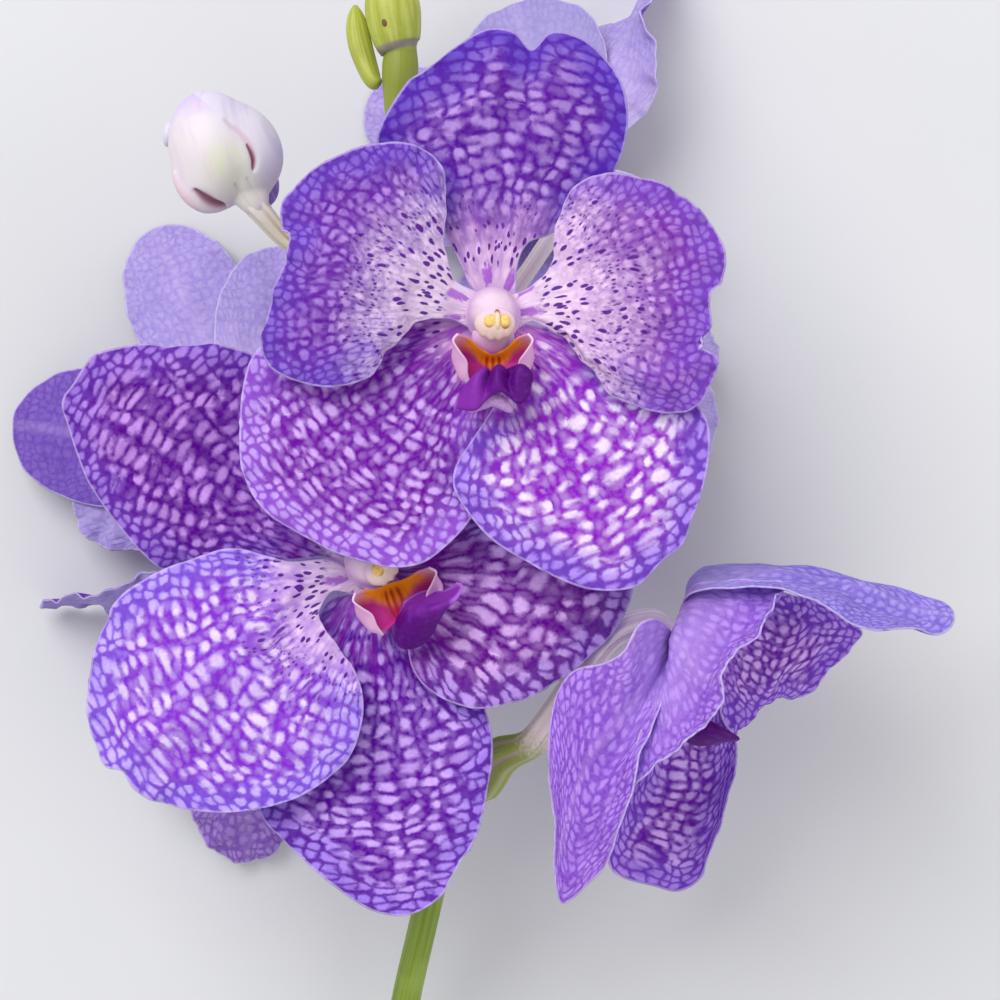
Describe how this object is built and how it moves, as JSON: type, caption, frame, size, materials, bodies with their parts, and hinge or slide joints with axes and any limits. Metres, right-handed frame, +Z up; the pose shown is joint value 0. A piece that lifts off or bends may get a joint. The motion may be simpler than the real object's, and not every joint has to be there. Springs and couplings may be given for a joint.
{
  "type": "cut vanda orchid",
  "caption": "Cut spray of an orchid lying on a surface, with netted violet flowers facing up and rearward, an opening bud and green buds along a bent green stem.",
  "frame": {"origin": "middle of the bounding box's underside, on the surface that the spray lies on", "axes": "+Y along the spray from its cut stem end to its bud end, +Z up, out of the faces of the front flowers"},
  "size_m": [0.2086, 0.3596, 0.1006],
  "materials": {
    "sepal": "satin living tissue, violet net of veins over pale lilac cells, paler lavender back",
    "petal": "satin living tissue, dark purple dots on a pinkish white base, violet net toward the margin",
    "lip": "waxy, dark purple mid-lobe, magenta side lobes with a pale rim and an orange throat",
    "column": "waxy pinkish white with a cream anther cap and yellow pollinia",
    "stalk": "satin ribbed stalk, green at the stem and pinkish cream at the flower",
    "stem": "satin yellow-green stem with fine lengthwise streaks",
    "bud": "satin white bud flushed lavender, on a ribbed cream stalk",
    "green_bud": "satin yellow-green bud with a greyish purple ring"
  },
  "bodies": {
    "root": {"stem": "stem", "front_dorsal_sepal": "sepal", "front_petal_left": "petal", "front_petal_right": "petal", "front_lateral_left": "sepal", "front_lateral_right": "sepal", "front_lip": "lip", "front_column": "column", "front_stalk": "stalk", "low_left_dorsal_sepal": "sepal", "low_left_petal_left": "petal", "low_left_petal_right": "petal", "low_left_lateral_left": "sepal", "low_left_lateral_right": "sepal", "low_left_lip": "lip", "low_left_column": "column", "low_left_stalk": "stalk", "low_right_dorsal_sepal": "sepal", "low_right_petal_left": "petal", "low_right_petal_right": "petal", "low_right_lateral_left": "sepal", "low_right_lateral_right": "sepal", "low_right_lip": "lip", "low_right_column": "column", "low_right_stalk": "stalk", "rear_left_dorsal_sepal": "sepal", "rear_left_petal_left": "petal", "rear_left_petal_right": "petal", "rear_left_lateral_left": "sepal", "rear_left_lateral_right": "sepal", "rear_left_lip": "lip", "rear_left_column": "column", "rear_left_stalk": "stalk", "rear_top_dorsal_sepal": "sepal", "rear_top_petal_left": "petal", "rear_top_petal_right": "petal", "rear_top_lateral_left": "sepal", "rear_top_lateral_right": "sepal", "rear_top_lip": "lip", "rear_top_column": "column", "rear_top_stalk": "stalk", "rear_right_dorsal_sepal": "sepal", "rear_right_petal_left": "petal", "rear_right_petal_right": "petal", "rear_right_lateral_left": "sepal", "rear_right_lateral_right": "sepal", "rear_right_lip": "lip", "rear_right_column": "column", "rear_right_stalk": "stalk", "rear_low_dorsal_sepal": "sepal", "rear_low_petal_left": "petal", "rear_low_petal_right": "petal", "rear_low_lateral_left": "sepal", "rear_low_lateral_right": "sepal", "rear_low_lip": "lip", "rear_low_column": "column", "rear_low_stalk": "stalk", "opening_bud": "bud", "large_green_bud": "green_bud", "slender_green_bud": "green_bud"}
  },
  "joints": []
}
